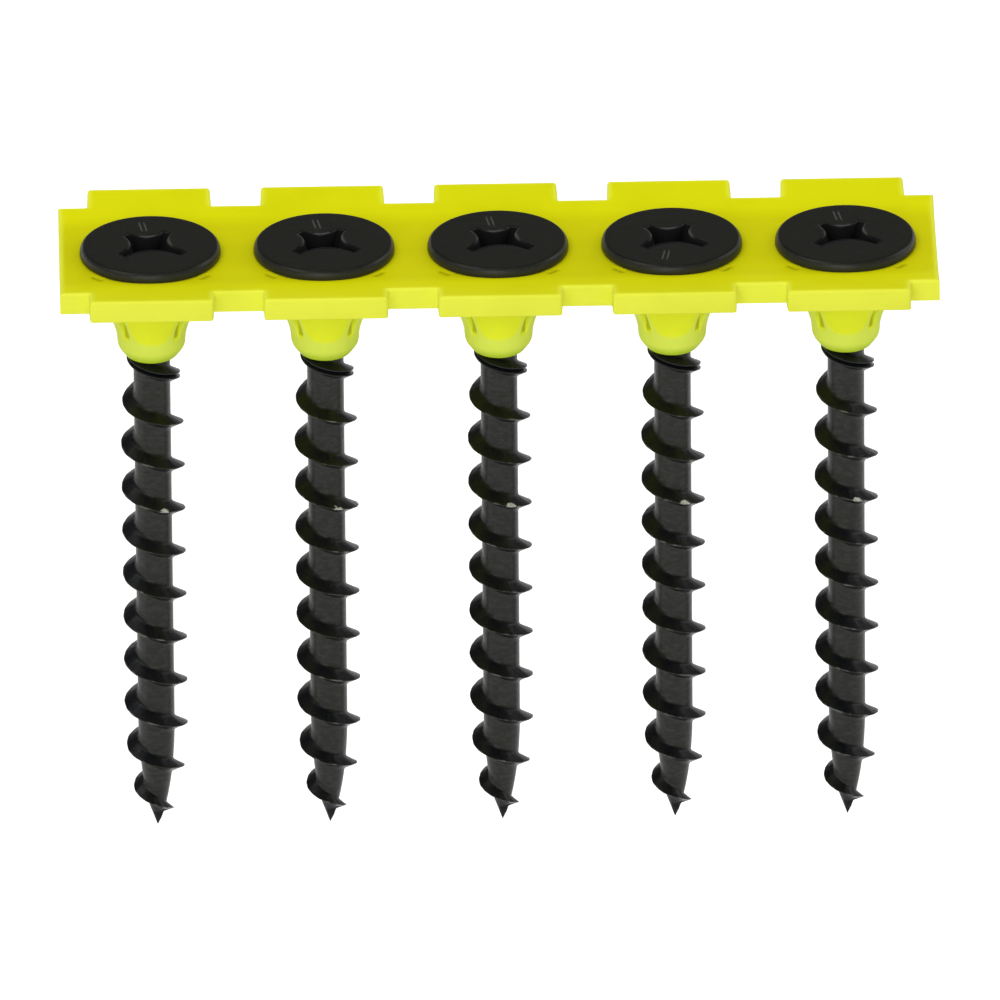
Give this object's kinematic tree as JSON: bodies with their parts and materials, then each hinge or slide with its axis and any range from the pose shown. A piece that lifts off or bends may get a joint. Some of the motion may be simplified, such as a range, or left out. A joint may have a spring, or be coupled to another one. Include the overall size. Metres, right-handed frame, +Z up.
{
  "type": "collated wood screw strip",
  "caption": "Row of black bugle-head wood screws with coarse thread and cross recess, held upright in a moulded yellow feed strip with side tabs and split collars.",
  "frame": {"origin": "on the middle screw's axis, level with the underside of the strip's flat middle", "axes": "+X along the strip, +Y across it towards the back tabs, +Z up out of the screw heads; the screws point down"},
  "size_m": [0.0516, 0.0154, 0.038],
  "materials": {
    "black_steel": "black phosphate, satin, with thin worn edges on the thread crests",
    "yellow_strip": "moulded yellow polyethylene, satin",
    "yellow_collar": "moulded yellow-green polyethylene, thin-walled, satin"
  },
  "bodies": {
    "pocket_1": {"carrier_1": "yellow_strip", "collar_1": "yellow_collar"},
    "pocket_2": {"carrier_2": "yellow_strip", "collar_2": "yellow_collar"},
    "pocket_3": {"carrier_3": "yellow_strip", "collar_3": "yellow_collar"},
    "pocket_4": {"carrier_4": "yellow_strip", "collar_4": "yellow_collar"},
    "pocket_5": {"carrier_5": "yellow_strip", "collar_5": "yellow_collar"},
    "loose_screw_1": {"screw_1": "black_steel"},
    "loose_screw_2": {"screw_2": "black_steel"},
    "loose_screw_3": {"screw_3": "black_steel"},
    "loose_screw_4": {"screw_4": "black_steel"},
    "loose_screw_5": {"screw_5": "black_steel"}
  },
  "joints": [
    {"name": "web_flex_23", "type": "hinge", "parent": "pocket_3", "child": "pocket_2", "pos_m": [-0.0051, 0, 0.001], "axis": [0, 1, 0], "range_deg": [-10, 20], "stiffness_Nm_per_rad": 0.1},
    {"name": "web_flex_12", "type": "hinge", "parent": "pocket_2", "child": "pocket_1", "pos_m": [-0.0153, 0, 0.001], "axis": [0, 1, 0], "range_deg": [-10, 20], "stiffness_Nm_per_rad": 0.1},
    {"name": "web_flex_34", "type": "hinge", "parent": "pocket_3", "child": "pocket_4", "pos_m": [0.0051, 0, 0.001], "axis": [0, -1, 0], "range_deg": [-10, 20], "stiffness_Nm_per_rad": 0.1},
    {"name": "web_flex_45", "type": "hinge", "parent": "pocket_4", "child": "pocket_5", "pos_m": [0.0153, 0, 0.001], "axis": [0, -1, 0], "range_deg": [-10, 20], "stiffness_Nm_per_rad": 0.1},
    {"name": "drive_1", "type": "slide", "parent": "pocket_1", "child": "loose_screw_1", "axis": [0, 0, -1], "range_m": [0, 0.04], "deforming": ["collar_1"]},
    {"name": "drive_2", "type": "slide", "parent": "pocket_2", "child": "loose_screw_2", "axis": [0, 0, -1], "range_m": [0, 0.04], "deforming": ["collar_2"]},
    {"name": "drive_3", "type": "slide", "parent": "pocket_3", "child": "loose_screw_3", "axis": [0, 0, -1], "range_m": [0, 0.04], "deforming": ["collar_3"]},
    {"name": "drive_4", "type": "slide", "parent": "pocket_4", "child": "loose_screw_4", "axis": [0, 0, -1], "range_m": [0, 0.04], "deforming": ["collar_4"]},
    {"name": "drive_5", "type": "slide", "parent": "pocket_5", "child": "loose_screw_5", "axis": [0, 0, -1], "range_m": [0, 0.04], "deforming": ["collar_5"]}
  ]
}
